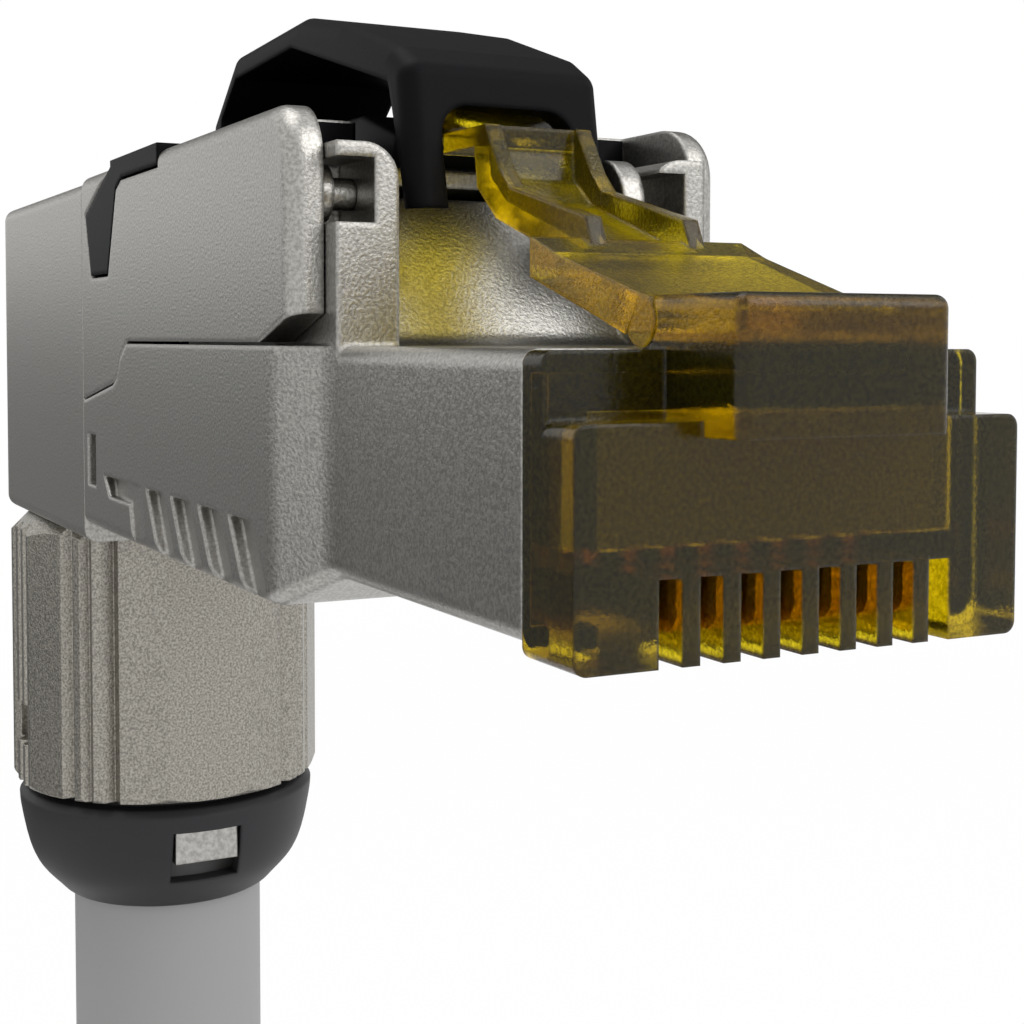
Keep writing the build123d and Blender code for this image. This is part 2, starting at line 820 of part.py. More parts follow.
def wire_manager():
    """The block pressed down on the terminals, with a channel for each twisted pair."""
    half = terminal_block_width / 2
    bottom = board_top + terminal_block_height
    front = terminal_block_front
    body = slab(-front - manager_length, -front, -half, half, bottom, bottom + manager_height)
    for y in pair_offsets():
        centre = bottom + manager_channel_rise
        channel = Pos(-front - manager_length / 2 - manager_front_wall, y, centre) * Rot(0, 90, 0)
        body -= channel * Cylinder(2 * wire_radius + manager_channel_clearance, manager_length)
    return body


def pair_offsets():
    """The y of the four pairs where they enter the wire manager."""
    return [(number - 1.5) * terminal_pitch for number in range(4)]


def pair_places():
    """The x and y of the four pairs inside the jacket."""
    return [
        (-outlet_back + side_x * pair_spread, side_y * pair_spread)
        for side_x in (1, -1)
        for side_y in (1, -1)
    ]


def pair_wires():
    """Eight insulated wires that bend from the cable towards the terminals."""
    level = board_top + terminal_block_height + manager_channel_rise
    end_x = -terminal_block_front - manager_length - fit
    starts = sorted(pair_places(), key=lambda place: (place[1], place[0] * place[1]))
    wires = []
    for (x, y), target in zip(starts, pair_offsets()):
        for side in (-1, 1):
            shift = side * (wire_radius + fit)
            path = FilletPolyline(
                (x, y + shift, pair_end_level),
                (x, y + shift, level),
                (end_x - wire_lead_in, target + shift, level),
                (end_x, target + shift, level),
                radius=[wire_bend, wire_bend],
            )
            start = Plane(origin=(x, y + shift, pair_end_level), z_dir=(0, 0, 1))
            wires.append(sweep(start * Circle(wire_radius), path=path))
    return Compound(children=wires)


def cable():
    """The free stretch of cable below the collar."""
    return upright(cable_radius, collar_bottom - cable_length, collar_bottom)


def jacket_end():
    """The end of the cable jacket inside the plug."""
    inner = cable_radius - jacket_wall
    return upright(cable_radius, collar_bottom, jacket_end_level) - upright(
        inner, collar_bottom - 1, jacket_end_level + 1
    )


def cable_pairs():
    """Four pairs in foil inside the end of the jacket."""
    rods = [upright(pair_radius, collar_bottom, pair_end_level, x, y) for x, y in pair_places()]
    return Compound(children=rods)


def cable_braid():
    """The braid folded back over the end of the jacket."""
    outer = cable_radius + fit + braid_wall
    return upright(outer, jacket_end_level - braid_length, jacket_end_level) - upright(
        cable_radius + fit, jacket_end_level - braid_length - 1, jacket_end_level + 1
    )


def seal_ring():
    """The rubber ring between the jacket and the spigot."""
    top = spigot_end + seal_length + fit
    return upright(spigot_bore - fit, top - seal_length, top) - upright(
        cable_radius + fit, top - seal_length - 1, top + 1
    )


def clamp_ring():
    """The flange under the spigot with slotted fingers round the jacket."""
    flange = upright(spigot_radius - clamp_flange_gap, spigot_end - clamp_flange, spigot_end)
    finger_top = spigot_end - clamp_flange
    outer = cable_radius + fit + clamp_finger_wall
    fingers = upright(outer, finger_top - clamp_finger_length, finger_top)
    ring = flange + fingers
    ring -= upright(cable_radius + fit, finger_top - clamp_finger_length - 1, spigot_end + 1)
    for number in range(clamp_finger_count // 2):
        turn = Rot(0, 0, 180.0 / (clamp_finger_count // 2) * number)
        slit = slab(
            -outer - 1, outer + 1, -clamp_slit / 2, clamp_slit / 2,
            finger_top - clamp_finger_length - 1, finger_top - clamp_slit_end,
        )
        ring -= Pos(-outlet_back, 0, 0) * turn * slit
    return ring


def clamp_nut():
    """Twelve sides, chamfered rims, flutes in six zones and two wrench slots."""
    blank = RegularPolygon(
        radius=nut_circumradius, side_count=nut_sides, rotation=180.0 / nut_sides
    )
    nut = Pos(-outlet_back, 0, nut_bottom) * extrude(blank, amount=nut_height)
    outside = nut_circumradius + 1
    nut -= turned([
        (nut_circumradius - nut_top_chamfer, nut_top + fit),
        (nut_circumradius, nut_top - nut_top_chamfer),
        (outside, nut_top - nut_top_chamfer),
        (outside, nut_top + fit),
    ])
    nut -= turned([
        (nut_circumradius - nut_bottom_chamfer, nut_bottom - fit),
        (nut_circumradius, nut_bottom + nut_bottom_chamfer),
        (outside, nut_bottom + nut_bottom_chamfer),
        (outside, nut_bottom - fit),
    ])
    nut -= upright(spigot_radius + nut_running_clearance, nut_bottom - 1, nut_top + 1)
    chamber_bottom = nut_bottom + nut_lip_height
    nut -= upright(nut_chamber_radius, chamber_bottom, chamber_bottom + nut_chamber_height)
    nut -= upright(nut_lip_radius, nut_bottom - 1, chamber_bottom)
    for zone in (45, 90, 135, 225, 270, 315):
        for step in (-1, 0, 1):
            nut -= flute(zone + step * flute_spacing_deg)
    for angle in (90, 270):
        nut -= wrench_slot(angle)
    return nut


def flute(angle):
    """A V-shaped groove down the side of the nut."""
    half_side = math.pi / nut_sides
    off_facet = math.radians((angle + 15) % 30 - 15)
    surface = nut_circumradius * math.cos(half_side) / math.cos(off_facet)
    section = [
        (surface - flute_depth, 0),
        (surface + flute_overcut, flute_width / 2 + flute_overcut),
        (surface + flute_overcut, -flute_width / 2 - flute_overcut),
    ]
    groove = plan_prism(section, nut_bottom - 1, nut_top - nut_top_chamfer / 2)
    return Pos(-outlet_back, 0, 0) * Rot(0, 0, angle) * groove


def wrench_slot(angle):
    """A level slot across one facet of the nut."""
    facet = nut_circumradius * math.cos(math.pi / nut_sides)
    half_width = wrench_slot_width / 2
    half_height = wrench_slot_height / 2
    slot = slab(
        facet - wrench_slot_depth, facet + 1, -half_width, half_width,
        wrench_slot_level - half_height, wrench_slot_level + half_height,
    )
    return Pos(-outlet_back, 0, 0) * Rot(0, 0, angle) * slot


def collar_profile():
    """Half outline of the collar: bowl outside, cone inside, and a ridge that snaps into the nut."""
    neck = nut_lip_radius - collar_clearance
    ridge = nut_chamber_radius - collar_clearance
    ridge_low = nut_bottom + nut_lip_height + collar_clearance
    ridge_high = ridge_low + ridge_height
    inner_top = cable_radius + clamp_finger_wall + clamp_collar_gap
    inner = collar_radius - collar_wall
    rim_level = collar_top - collar_rim_round
    lip_outer = collar_lip_radius + collar_lip_width
    bowl = Spline(
        (collar_radius, rim_level),
        *[(collar_radius * wide, collar_top - collar_depth * deep) for wide, deep in collar_bowl],
        (lip_outer, collar_bottom),
        tangents=[(0, -1), (-1, -0.2)],
    )
    rest = Polyline(
        (lip_outer, collar_bottom),
        (collar_lip_radius, collar_bottom),
        (collar_lip_radius, collar_bottom + collar_lip_height),
        (inner, collar_top - collar_cone_top),
        (inner, collar_top - collar_shoulder),
        (inner_top, collar_top),
        (inner_top, ridge_high),
        (ridge - ridge_slope, ridge_high),
        (ridge, ridge_high - ridge_slope),
        (ridge, ridge_low),
        (neck, ridge_low),
        (neck, collar_top),
        (collar_radius - collar_rim_round, collar_top),
        (collar_radius, rim_level),
    )
    return make_face(bowl + rest)


def clamp_collar():
    """The bowl under the nut, with a window at the front and at the back."""
    bowl = Pos(-outlet_back, 0, 0) * revolve(Plane.XZ * collar_profile(), axis=Axis.Z)
    half = collar_window_width / 2
    top = collar_top - collar_window_top
    reach = collar_radius + 1
    return bowl - slab(
        -outlet_back - reach, -outlet_back + reach, -half, half, top - collar_window_height, top
    )


def clamp_tooth():
    """A spring-steel ring inside the collar with a tooth in each window."""
    outer = collar_radius - collar_wall - fit
    top = collar_top - collar_window_top
    ring_low = top - tooth_height
    bore = upright(outer - tooth_thickness, ring_low - 1, top + 1)
    half = tooth_width / 2
    reach = collar_radius - tooth_setback
    teeth = slab(-outlet_back - reach, -outlet_back + reach, -half, half, ring_low, top - fit)
    return upright(outer, ring_low, top - fit) + teeth - bore


def write(name, shape):
    """Save one sub-part."""
    export_step(shape, f"parts/{name}.step")


os.makedirs("parts", exist_ok=True)
write("nose_insulator", nose_insulator())
for number, place in enumerate(contact_places(), start=1):
    write(f"contact_{number}", contact(place))
write("contact_carrier", contact_carrier())
write("latch", latch())
write("lower_shell", lower_shell())
write("upper_shell", upper_shell())
write("hood_saddle", hood_saddle())
write("release_hood", release_hood())
write("rear_cap", rear_cap())
write("circuit_board", circuit_board())
write("terminal_block", terminal_block())
write("terminals", terminals())
write("wire_manager", wire_manager())
write("pair_wires", pair_wires())
write("cable", cable())
write("jacket_end", jacket_end())
write("cable_pairs", cable_pairs())
write("cable_braid", cable_braid())
write("seal_ring", seal_ring())
write("clamp_ring", clamp_ring())
write("clamp_nut", clamp_nut())
write("clamp_collar", clamp_collar())
write("clamp_tooth", clamp_tooth())
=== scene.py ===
import json
import math
import bmesh
import bpy
from mathutils import Matrix, Vector


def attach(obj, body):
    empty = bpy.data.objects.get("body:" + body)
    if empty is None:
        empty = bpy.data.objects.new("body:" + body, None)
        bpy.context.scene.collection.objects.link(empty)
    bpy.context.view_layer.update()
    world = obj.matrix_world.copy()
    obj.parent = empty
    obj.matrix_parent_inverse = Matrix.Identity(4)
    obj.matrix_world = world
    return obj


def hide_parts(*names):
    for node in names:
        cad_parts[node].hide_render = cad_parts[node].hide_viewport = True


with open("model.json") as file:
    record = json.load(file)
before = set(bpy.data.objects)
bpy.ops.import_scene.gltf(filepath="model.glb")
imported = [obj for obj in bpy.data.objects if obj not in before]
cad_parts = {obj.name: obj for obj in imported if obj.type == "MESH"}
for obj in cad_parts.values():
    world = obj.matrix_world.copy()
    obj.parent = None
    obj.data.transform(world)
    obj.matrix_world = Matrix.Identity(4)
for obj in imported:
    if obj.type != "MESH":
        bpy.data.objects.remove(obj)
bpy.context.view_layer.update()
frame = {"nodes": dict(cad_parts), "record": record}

# Everything is in metres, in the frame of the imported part: +X is the way the plug goes into its
# jack, +Z is up, and the nose's lower front edge is the origin. MM turns a millimetre into metres.
MM = 0.001

scene = bpy.context.scene
scene.view_settings.view_transform = "Standard"


# ---- camera ----

CAMERA_PLACE = (28.171 * MM, -21.806 * MM, 6.760 * MM)
CAMERA_YAW = math.radians(27.016)
CAMERA_PITCH = math.radians(-2.609)
CAMERA_ROLL = math.radians(-0.067)

camera_data = bpy.data.cameras.new("camera")
camera_data.sensor_width = 36.0
camera_data.lens = 57.72
camera_data.shift_x = 0.0097
camera_data.shift_y = -0.0961
camera_data.clip_start = 1.0 * MM
camera_data.clip_end = 10.0
camera = bpy.data.objects.new("camera", camera_data)
scene.collection.objects.link(camera)
camera.location = CAMERA_PLACE
looking = Vector((
    -math.cos(CAMERA_YAW) * math.cos(CAMERA_PITCH),
    math.sin(CAMERA_YAW) * math.cos(CAMERA_PITCH),
    math.sin(CAMERA_PITCH),
))
camera.rotation_mode = "QUATERNION"
camera.rotation_quaternion = (
    Matrix.Rotation(CAMERA_ROLL, 3, looking).to_quaternion() @ looking.to_track_quat("-Z", "Y")
)
scene.camera = camera


# ---- cable ----

OUTLET_X = -51.05 * MM
CABLE_TOP = -19.80 * MM
CABLE_END = -79.80 * MM
CABLE_RADIUS = 4.5 * MM
CUT_DEPTH = 0.5 * MM


def into_scene(name, mesh):
    """Put a finished mesh or curve into the scene under its piece's name."""
    made = bpy.data.objects.new(name, mesh)
    scene.collection.objects.link(made)
    return made


def mesh_piece(name, shape):
    """Turn a bmesh into a piece, smooth shaded, and free the bmesh."""
    bmesh.ops.recalc_face_normals(shape, faces=shape.faces)
    mesh = bpy.data.meshes.new(name)
    shape.to_mesh(mesh)
    shape.free()
    mesh.shade_smooth()
    return into_scene(name, mesh)


route = bpy.data.curves.new("cable_route", "CURVE")
route.dimensions = "3D"
line = route.splines.new("NURBS")
line.points.add(2)
route_levels = (CABLE_TOP, (CABLE_TOP + CABLE_END + CUT_DEPTH) / 2, CABLE_END + CUT_DEPTH)
for point, level in zip(line.points, route_levels):
    point.co = (OUTLET_X, 0.0, level, 1.0)
line.order_u = 3
line.use_endpoint_u = True
line.resolution_u = 12
route_line = bpy.data.objects.new("cable_route", route)
cable_path = [tuple(vert.co) for vert in bpy.data.meshes.new_from_object(route_line).vertices]

# The jacket is a mesh tube along the route, since a curve's own box comes out too long.
route.bevel_depth = CABLE_RADIUS
route.bevel_resolution = 14
route.use_fill_caps = True
cable_jacket = into_scene("cable_jacket", bpy.data.meshes.new_from_object(route_line))
bpy.data.objects.remove(route_line)


def ring(shape, outer, inner, low, high, segments=64):
    """Spin an upright ring of rectangular section about the cable's own line."""
    corners = [(outer, low), (outer, high), (inner, high), (inner, low)]
    made = [shape.verts.new((OUTLET_X + radius, 0.0, level)) for radius, level in corners]
    edges = [shape.edges.new((made[i], made[(i + 1) % 4])) for i in range(4)]
    bmesh.ops.spin(
        shape, geom=made + edges, cent=(OUTLET_X, 0, 0), axis=(0, 0, 1),
        angle=math.tau, steps=segments, use_merge=True,
    )
    bmesh.ops.remove_doubles(shape, verts=shape.verts, dist=0.001 * MM)


JACKET_WALL = 0.75 * MM
BRAID_WALL = 0.25 * MM
PAIR_RADIUS = 1.42 * MM
PAIR_SPREAD = 1.52 * MM
CORE_RADIUS = 0.62 * MM
COPPER_RADIUS = 0.29 * MM
CUT_STEP = 0.06 * MM


def rod(shape, x, y, radius, low, high, segments=24):
    """Add an upright solid rod beside the cable's own line."""
    made = bmesh.ops.create_cone(
        shape, cap_ends=True, segments=segments, radius1=radius, radius2=radius,
        depth=high - low,
        matrix=Matrix.Translation((OUTLET_X + x, y, (low + high) / 2)),
    )
    return made["verts"]


cut_jacket_shape = bmesh.new()
ring(cut_jacket_shape, CABLE_RADIUS, CABLE_RADIUS - JACKET_WALL, CABLE_END, CABLE_END + CUT_DEPTH)
rim = [
    edge for edge in cut_jacket_shape.edges
    if all(vert.co.z < CABLE_END + CUT_STEP for vert in edge.verts)
]
bmesh.ops.bevel(
    cut_jacket_shape, geom=rim, offset=0.08 * MM, offset_type="OFFSET", segments=2,
    profile=0.5, affect="EDGES", material=-1,
)
cut_jacket = mesh_piece("cut_jacket", cut_jacket_shape)

cut_braid_shape = bmesh.new()
braid_outer = CABLE_RADIUS - JACKET_WALL
ring(
    cut_braid_shape, braid_outer, braid_outer - BRAID_WALL,
    CABLE_END + CUT_STEP, CABLE_END + CUT_DEPTH,
)
cut_braid = mesh_piece("cut_braid", cut_braid_shape)

pair_centres = [
    (PAIR_SPREAD * math.cos(turn), PAIR_SPREAD * math.sin(turn))
    for turn in (math.radians(45 + 90 * quarter) for quarter in range(4))
]
cut_foil_shape = bmesh.new()
cut_cores_shape = bmesh.new()
cut_copper_shape = bmesh.new()
for number, (x, y) in enumerate(pair_centres):
    rod(cut_foil_shape, x, y, PAIR_RADIUS, CABLE_END + 3 * CUT_STEP, CABLE_END + CUT_DEPTH, 32)
    lean = math.radians(25 + 65 * number)
    for side in (-1, 1):
        core_x = x + side * CORE_RADIUS * math.cos(lean)
        core_y = y + side * CORE_RADIUS * math.sin(lean)
        rod(
            cut_cores_shape, core_x, core_y, CORE_RADIUS,
            CABLE_END + 2 * CUT_STEP, CABLE_END + CUT_DEPTH,
        )
        rod(
            cut_copper_shape, core_x, core_y, COPPER_RADIUS,
            CABLE_END + CUT_STEP, CABLE_END + CUT_DEPTH,
        )
cut_foil = mesh_piece("cut_foil", cut_foil_shape)
cut_cores = mesh_piece("cut_cores", cut_cores_shape)
cut_copper = mesh_piece("cut_copper", cut_copper_shape)
cut_end = [cut_jacket, cut_braid, cut_foil, cut_cores, cut_copper]

for piece in [cable_jacket] + cut_end:
    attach(piece, "plug_body")
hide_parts("cable")


# ---- pieces under the hood ----

def side_plate(shape, outline, half_width):
    """Stand an outline in x and z up in the middle plane and pull it out to both sides."""
    made = [shape.verts.new((x * MM, -half_width * MM, z * MM)) for x, z in outline]
    face = bmesh.ops.contextual_create(shape, geom=made)["faces"]
    pulled = bmesh.ops.extrude_face_region(shape, geom=face)["geom"]
    bmesh.ops.translate(
        shape, verts=[part for part in pulled if isinstance(part, bmesh.types.BMVert)],
        vec=(0.0, 2 * half_width * MM, 0.0),
    )


def box(shape, low, high):
    """Add a box between two corners, given in millimetres."""
    made = bmesh.ops.create_cube(shape, size=1.0)["verts"]
    size = [(b - a) * MM for a, b in zip(low, high)]
    middle = [(a + b) / 2 * MM for a, b in zip(low, high)]
    bmesh.ops.scale(shape, verts=made, vec=size)
    bmesh.ops.translate(shape, verts=made, vec=middle)


def break_edges(shape, offset, segments=2, chosen=None):
    """Round the chosen edges, or all of them, by a small radius."""
    bmesh.ops.bevel(
        shape, geom=list(chosen or shape.edges), offset=offset * MM, offset_type="OFFSET",
        segments=segments, profile=0.5, affect="EDGES", material=-1,
    )


# The latch's tail ends in a plate that lies along the inside of the hood's front leg and fills
# its window from behind. Its outline in x and z leans with the leg.
TAIL_OUTLINE = [(-15.12, 12.63), (-15.45, 12.63), (-15.90, 13.86), (-15.57, 13.86)]
TAIL_HALF_WIDTH = 2.70
TAIL_CORNER_RADIUS = 0.90
TAIL_CORNERS_ABOVE = 13.8 * MM

tail_shape = bmesh.new()
side_plate(tail_shape, TAIL_OUTLINE, TAIL_HALF_WIDTH)
top_corners = [
    edge for edge in tail_shape.edges
    if all(vert.co.z > TAIL_CORNERS_ABOVE for vert in edge.verts)
    and abs(edge.verts[0].co.y - edge.verts[1].co.y) < 0.1 * MM
]
break_edges(tail_shape, TAIL_CORNER_RADIUS, 6, top_corners)
latch_tail_plate = mesh_piece("latch_tail_plate", tail_shape)

# The hood's stop stands on the floor of the well, under the arch, with a slope towards the front
# that leaves room for the pressed hood.
STOP_OUTLINE = [
    (-18.00, 11.90), (-18.00, 12.95), (-20.80, 13.88), (-23.30, 13.88), (-23.30, 11.90),
]
STOP_HALF_WIDTH = 1.90

stop_shape = bmesh.new()
side_plate(stop_shape, STOP_OUTLINE, STOP_HALF_WIDTH)
break_edges(stop_shape, 0.15)
hood_stop = mesh_piece("hood_stop", stop_shape)

# A black sheet of painted shade covers the well's floor and walls and the front ends of the roof beside
# it, so that they stay as dark as shadow.
WELL_BACK, WELL_FRONT = -30.85, -17.48
WELL_FLOOR, FLOOR_SHADE_SHEET_TOP, WALL_SHADE_SHEET_TOP = 11.90, 11.96, 13.16
WELL_HALF_WIDTH, WALL_SHADE_SHEET_INSIDE = 3.50, 3.42
SHADE_FACING_BACK, SHADE_FACING_LOW, SHADE_FACING_TOP = -17.60, 11.36, 13.12
SHADE_FACINGS_Y = [(-5.82, -3.42), (4.06, 5.82)]

shade_sheet_shape = bmesh.new()
box(
    shade_sheet_shape, (WELL_BACK, -WELL_HALF_WIDTH, WELL_FLOOR),
    (WELL_FRONT, WELL_HALF_WIDTH, FLOOR_SHADE_SHEET_TOP),
)
for side in (-1, 1):
    y_low, y_high = sorted((WALL_SHADE_SHEET_INSIDE * side, WELL_HALF_WIDTH * side))
    box(shade_sheet_shape, (WELL_BACK, y_low, WELL_FLOOR), (WELL_FRONT, y_high, WALL_SHADE_SHEET_TOP))
for y_low, y_high in SHADE_FACINGS_Y:
    box(shade_sheet_shape, (SHADE_FACING_BACK, y_low, SHADE_FACING_LOW), (WELL_FRONT, y_high, SHADE_FACING_TOP))
well_shade_sheet = mesh_piece("well_shade_sheet", shade_sheet_shape)

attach(latch_tail_plate, "latch_body")
for piece in (hood_stop, well_shade_sheet):
    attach(piece, "plug_body")


# ---- materials ----

def linear(hex_colour):
    """Turn an sRGB hex colour such as "8A8A88" into the linear colour that the nodes take."""
    channels = (int(hex_colour[i:i + 2], 16) / 255 for i in (0, 2, 4))
    return tuple(
        c / 12.92 if c <= 0.04045 else ((c + 0.055) / 1.055) ** 2.4 for c in channels
    ) + (1.0,)


def add(tree, kind, inputs=None, **settings):
    """Add one node with its settings. An input that is another node's output is linked."""
    node = tree.nodes.new("ShaderNode" + kind)
    for name, value in settings.items():
        setattr(node, name, value)
    for name, value in (inputs or {}).items():
        if isinstance(value, bpy.types.NodeSocket):
            tree.links.new(value, node.inputs[name])
        else:
            node.inputs[name].default_value = value
    return node


def blank_material(name):
    """A new material and its emptied node tree."""
    made = bpy.data.materials.new(name)
    made.use_nodes = True
    made.node_tree.nodes.clear()
    return made, made.node_tree


def finish_surface(tree, shader, volume=None):
    """Join the shader, and the volume where there is one, to the material's output."""
    inputs = {"Surface": shader.outputs[0]}
    if volume is not None:
        inputs["Volume"] = volume.outputs[0]
    add(tree, "OutputMaterial", inputs)


def rounded_grain(tree, grain, depth, edge):
    """Join a fine surface grain and softly rolled edges into one normal. Gives the normal and the
    grain's own level."""
    place = add(tree, "TexCoord").outputs["Object"]
    round_edge = add(tree, "Bevel", {"Radius": edge}, samples=6)
    texture = add(tree, "TexNoise", {
        "Vector": place, "Scale": 1 / grain, "Detail": 2.5, "Roughness": 0.55,
    })
    bump = add(tree, "Bump", {
        "Height": texture.outputs["Fac"], "Normal": round_edge.outputs["Normal"],
        "Strength": 1.0, "Distance": depth,
    })
    return bump.outputs["Normal"], texture.outputs["Fac"]


# Painted light: the grain's pits get a darker colour and its peaks a lighter one.
def shaded_pits_lit_peaks(tree, level, shaded_pit_colour, lit_peak_colour):
    """Painted shade in the pits of a grain and a painted highlight on its peaks, from one colour to
    another.
    """
    height = add(tree, "MapRange", {"Value": level, "From Min": 0.36, "From Max": 0.64})
    colour = add(tree, "Mix", {
        0: height.outputs["Result"], 6: linear(shaded_pit_colour), 7: linear(lit_peak_colour),
    }, data_type="RGBA")
    return colour.outputs[2]


def metal_finish(name, shaded_pit_colour, lit_peak_colour, grain, depth, roughness, edge):
    """A metal or a plate on it, with painted shade that darkens the pits of its grain against the
    peaks, and with every edge rolled over so that it catches a thin bright line of light."""
    made, tree = blank_material(name)
    normal, level = rounded_grain(tree, grain, depth, edge)
    shader = add(tree, "BsdfPrincipled", {
        "Base Color": shaded_pits_lit_peaks(tree, level, shaded_pit_colour, lit_peak_colour),
        "Metallic": 1.0, "Roughness": roughness, "Normal": normal,
    })
    finish_surface(tree, shader)
    return made


def moulded_finish(name, colour, roughness, grain, depth, edge, shine=0.5):
    """Injection-moulded plastic from a spark-eroded mould: a fine even matt grain and soft edges."""
    made, tree = blank_material(name)
    normal, level = rounded_grain(tree, grain, depth, edge)
    shader = add(tree, "BsdfPrincipled", {
        "Base Color": linear(colour), "Roughness": roughness, "IOR": 1.5,
        "Specular IOR Level": shine, "Normal": normal,
    })
    finish_surface(tree, shader)
    return made


def smoked_polycarbonate(name):
    """Yellow-brown polycarbonate with an etched skin: olive yellow where it is thin and lit from
    behind, nearly black where it is thick, with a fine sparkle from the etching's bumps and from
    painted shade in its pits and painted highlights on its peaks. Its IOR is under the real 1.58,
    which keeps glare off the dark front."""
    made, tree = blank_material(name)
    normal, level = rounded_grain(tree, 0.10 * MM, 0.010 * MM, 0.15 * MM)
    shader = add(tree, "BsdfPrincipled", {
        "Base Color": shaded_pits_lit_peaks(tree, level, "A8960C", "F0DC30"),
        "Roughness": 0.12, "IOR": 1.36, "Transmission Weight": 0.98,
        "Specular IOR Level": 0.06, "Normal": normal,
    })
    depth = add(tree, "VolumeAbsorption", {"Color": linear("EFE700"), "Density": 850.0})
    finish_surface(tree, shader, depth)
    return made


# Satin nickel on the die-cast shells: the fine orange peel of the die shows through the plate.
cast_nickel = metal_finish(
    "satin_nickel_on_zinc_casting", "94928D", "B2B0AB", 0.10 * MM, 0.014 * MM, 0.34, 0.22 * MM,
)
# The nut was bead-blasted before plating, which leaves an even sparkling grain and no clear reflection.
blasted_nickel = metal_finish(
    "bead_blasted_nickel", "7C7972", "ACA89F", 0.10 * MM, 0.022 * MM, 0.36, 0.10 * MM,
)
amber = smoked_polycarbonate("smoked_amber_polycarbonate")
# Glass-filled nylon with a fine spark-eroded grain: nearly black, with a soft grey sheen at its edges.
black_nylon = moulded_finish(
    "black_glass_filled_nylon", "0E0E10", 0.46, 0.15 * MM, 0.004 * MM, 0.25 * MM, 0.05,
)
# The collar gets a lighter, shinier copy of the hood's black nylon: its greyer colour is painted light
# that stands in for the soft sheen the collar catches.
collar_nylon_painted_lighter = moulded_finish(
    "black_nylon_painted_lighter", "28282A", 0.50, 0.15 * MM, 0.004 * MM, 0.25 * MM, 0.25,
)
# Halogen-free cable jacket: matt mid grey, a little waxy.
cable_grey = moulded_finish(
    "grey_halogen_free_jacket", "949494", 0.6, 0.30 * MM, 0.004 * MM, 0.10 * MM, 0.3,
)
dark_resin = moulded_finish(
    "dark_brown_carrier_resin", "32261C", 0.6, 0.15 * MM, 0.010 * MM, 0.08 * MM,
)
white_resin = moulded_finish(
    "white_terminal_resin", "D8D8D2", 0.45, 0.2 * MM, 0.004 * MM, 0.08 * MM,
)
board_green = moulded_finish("green_solder_mask", "14502A", 0.25, 0.3 * MM, 0.002 * MM, 0.05 * MM)
seal_black = moulded_finish("black_seal_rubber", "161616", 0.7, 0.2 * MM, 0.004 * MM, 0.10 * MM)
core_blue = moulded_finish("blue_wire_insulation", "2C55A0", 0.35, 0.3 * MM, 0.002 * MM, 0.05 * MM)
# Gold over nickel on the stamped contacts: bright, with faint drawn streaks.
gold = metal_finish(
    "gold_plated_phosphor_bronze", "C48A34", "E8B45A", 0.25 * MM, 0.001 * MM, 0.22, 0.05 * MM,
)
tin = metal_finish("tin_plated_brass", "B4B2AA", "CFCDC6", 0.25 * MM, 0.002 * MM, 0.30, 0.05 * MM)
# Cold-rolled spring steel: a satin grey with the rolled grain barely showing.
spring = metal_finish(
    "satin_spring_steel", "9A9894", "B6B4B0", 0.20 * MM, 0.008 * MM, 0.34, 0.14 * MM,
)
copper = metal_finish("bare_copper", "B97650", "DB9468", 0.2 * MM, 0.002 * MM, 0.28, 0.04 * MM)
foil = metal_finish(
    "laminated_aluminium_foil", "C4C6CA", "DADCE0", 0.35 * MM, 0.020 * MM, 0.22, 0.05 * MM,
)
# Braid strands 0.12 mm thick are drawn as a grain of 0.2 mm, the finest that shows on the cut end.
braid = metal_finish(
    "tinned_copper_braid", "8E8880", "C2BBAF", 0.20 * MM, 0.040 * MM, 0.32, 0.05 * MM,
)

finish_of = {
    "translucent_amber": amber,
    "gold_contact": gold,
    "dark_carrier": dark_resin,
    "cast_nickel": cast_nickel,
    "black_plastic": black_nylon,
    "nut_nickel": blasted_nickel,
    "green_board": board_green,
    "terminal_white": white_resin,
    "terminal_metal": tin,
    "wire_blue": core_blue,
    "jacket_grey": cable_grey,
    "foil": foil,
    "braid": braid,
    "spring_steel": spring,
    "seal_rubber": seal_black,
}


def wear(piece, finish):
    """Give a whole piece one finish."""
    piece.data.materials.clear()
    piece.data.materials.append(finish)


slot_of_node = {
    node["node"]: node["material_slot"]
    for node in frame["record"]["subparts"]
}
for name, piece in frame["nodes"].items():
    if name in slot_of_node:
        wear(piece, finish_of[slot_of_node[name]])
wear(frame["nodes"]["clamp_collar"], collar_nylon_painted_lighter)
# The sheet in the well wears black nylon here as painted shade.
for piece, finish in (
    (cable_jacket, cable_grey), (cut_jacket, cable_grey), (cut_braid, braid),
    (cut_foil, foil), (cut_cores, white_resin), (cut_copper, copper),
    (latch_tail_plate, amber), (hood_stop, black_nylon), (well_shade_sheet, black_nylon),
):
    wear(piece, finish)


# ---- studio ----

def background_rays(tree):
    """One where the camera, a reflection or a view through something clear looks, else zero."""
    path = add(tree, "LightPath")
    first = add(tree, "Math", {
        0: path.outputs["Is Camera Ray"], 1: path.outputs["Is Glossy Ray"],
    }, operation="ADD")
    both = add(tree, "Math", {
        0: first.outputs[0], 1: path.outputs["Is Transmission Ray"],
    }, operation="ADD", use_clamp=True)
    return both.outputs[0]


world = bpy.data.worlds.new("studio")
scene.world = world
world.use_nodes = True
world.node_tree.nodes.clear()
tree = world.node_tree
fill_level = add(tree, "MapRange", {"Value": background_rays(tree), "To Min": 0.72, "To Max": 1.0})
background = add(tree, "Background", {"Color": (1, 1, 1, 1), "Strength": fill_level.outputs["Result"]})
add(tree, "OutputWorld", {"Surface": background.outputs[0]})

FLOOR_HALF_SIDE = 1.5
FLOOR_DROP = 0.2 * MM

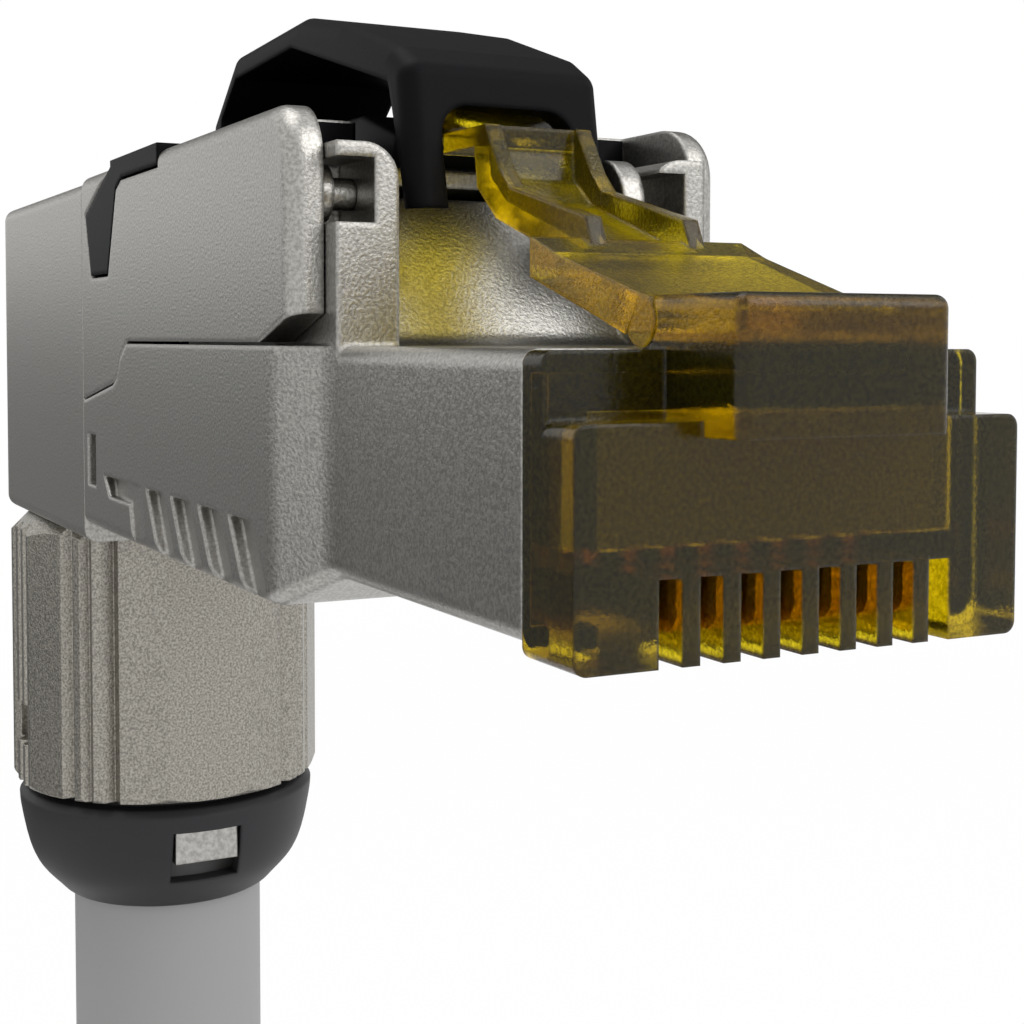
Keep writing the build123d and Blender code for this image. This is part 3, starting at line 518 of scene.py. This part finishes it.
floor_shape = bmesh.new()
bmesh.ops.create_grid(
    floor_shape, x_segments=1, y_segments=1, size=FLOOR_HALF_SIDE,
    matrix=Matrix.Translation((OUTLET_X, 0, CABLE_END - FLOOR_DROP)),
)
floor = mesh_piece("floor", floor_shape)
floor_finish, tree = blank_material("white_studio_floor")
paint = add(tree, "BsdfDiffuse", {"Color": linear("F2F2F2")})
glow = add(tree, "Emission", {"Color": (1, 1, 1, 1), "Strength": 1.0})
# Near the plug the paint's share keeps the shadow; far off the floor melts into the background.
away = add(tree, "VectorMath", {0: add(tree, "TexCoord").outputs["Object"]}, operation="LENGTH")
far = add(tree, "MapRange", {
    "Value": away.outputs["Value"], "From Min": 0.15, "From Max": 0.60, "To Min": 0.90, "To Max": 1.0,
})
share = add(
    tree, "Math", {0: background_rays(tree), 1: far.outputs["Result"]}, operation="MULTIPLY",
)
both = add(tree, "MixShader", {0: share.outputs[0], 1: paint.outputs[0], 2: glow.outputs[0]})
finish_surface(tree, both)
wear(floor, floor_finish)

def grey_card(name, corners, low, high, dark, light):
    """A flat grey card that only reflections see, graded upwards from dark at the low height to
    light at the high one."""
    shape = bmesh.new()
    bmesh.ops.contextual_create(shape, geom=[shape.verts.new(corner) for corner in corners])
    card = mesh_piece(name, shape)
    for kind in ("visible_camera", "visible_diffuse", "visible_transmission", "visible_shadow"):
        setattr(card, kind, False)
    finish, tree = blank_material(name + "_paper")
    place = add(tree, "TexCoord").outputs["Object"]
    level = add(tree, "SeparateXYZ", {0: place}).outputs["Z"]
    shade = add(tree, "MapRange", {
        "Value": level, "From Min": low, "From Max": high, "To Min": dark, "To Max": light,
    })
    finish_surface(tree, add(tree, "Emission", {
        "Color": (1, 1, 1, 1), "Strength": shade.outputs["Result"],
    }))
    wear(card, finish)


# This card leans away from the plug behind its left side and draws the flat sides of the shells.
grey_card(
    "left_card",
    ((-0.20, 0.02, -0.078), (-0.02, -0.22, -0.078), (-0.30, -0.62, 0.040), (-0.70, 0.02, 0.040)),
    0.004, 0.036, 0.22, 0.80,
)
# This one stands high behind the plug and keeps the glare off the latch's sloping top faces.
grey_card(
    "rear_card",
    ((-0.75, -0.10, 0.11), (-0.25, 0.70, 0.11), (-0.25, 0.70, 0.80), (-0.75, -0.10, 0.80)),
    0.11, 0.80, 0.05, 0.30,
)


def soft_light(name, place, aim, width, height, watts):
    """A rectangular softbox at a place, turned to its aim."""
    data = bpy.data.lights.new(name, "AREA")
    data.shape = "RECTANGLE"
    data.size = width
    data.size_y = height
    data.energy = watts
    lamp = bpy.data.objects.new(name, data)
    scene.collection.objects.link(lamp)
    lamp.location = place
    lamp.rotation_mode = "QUATERNION"
    lamp.rotation_quaternion = (Vector(aim) - Vector(place)).to_track_quat("-Z", "Y")
    lamp.visible_camera = False
    return lamp


plug_middle = (-0.02, 0, 0.004)
soft_light("overhead_softbox", (-0.12, -0.10, 0.50), plug_middle, 0.40, 0.30, 0.8)
soft_light("right_key_light", (0.36, 0.20, 0.32), plug_middle, 0.45, 0.45, 1.5)
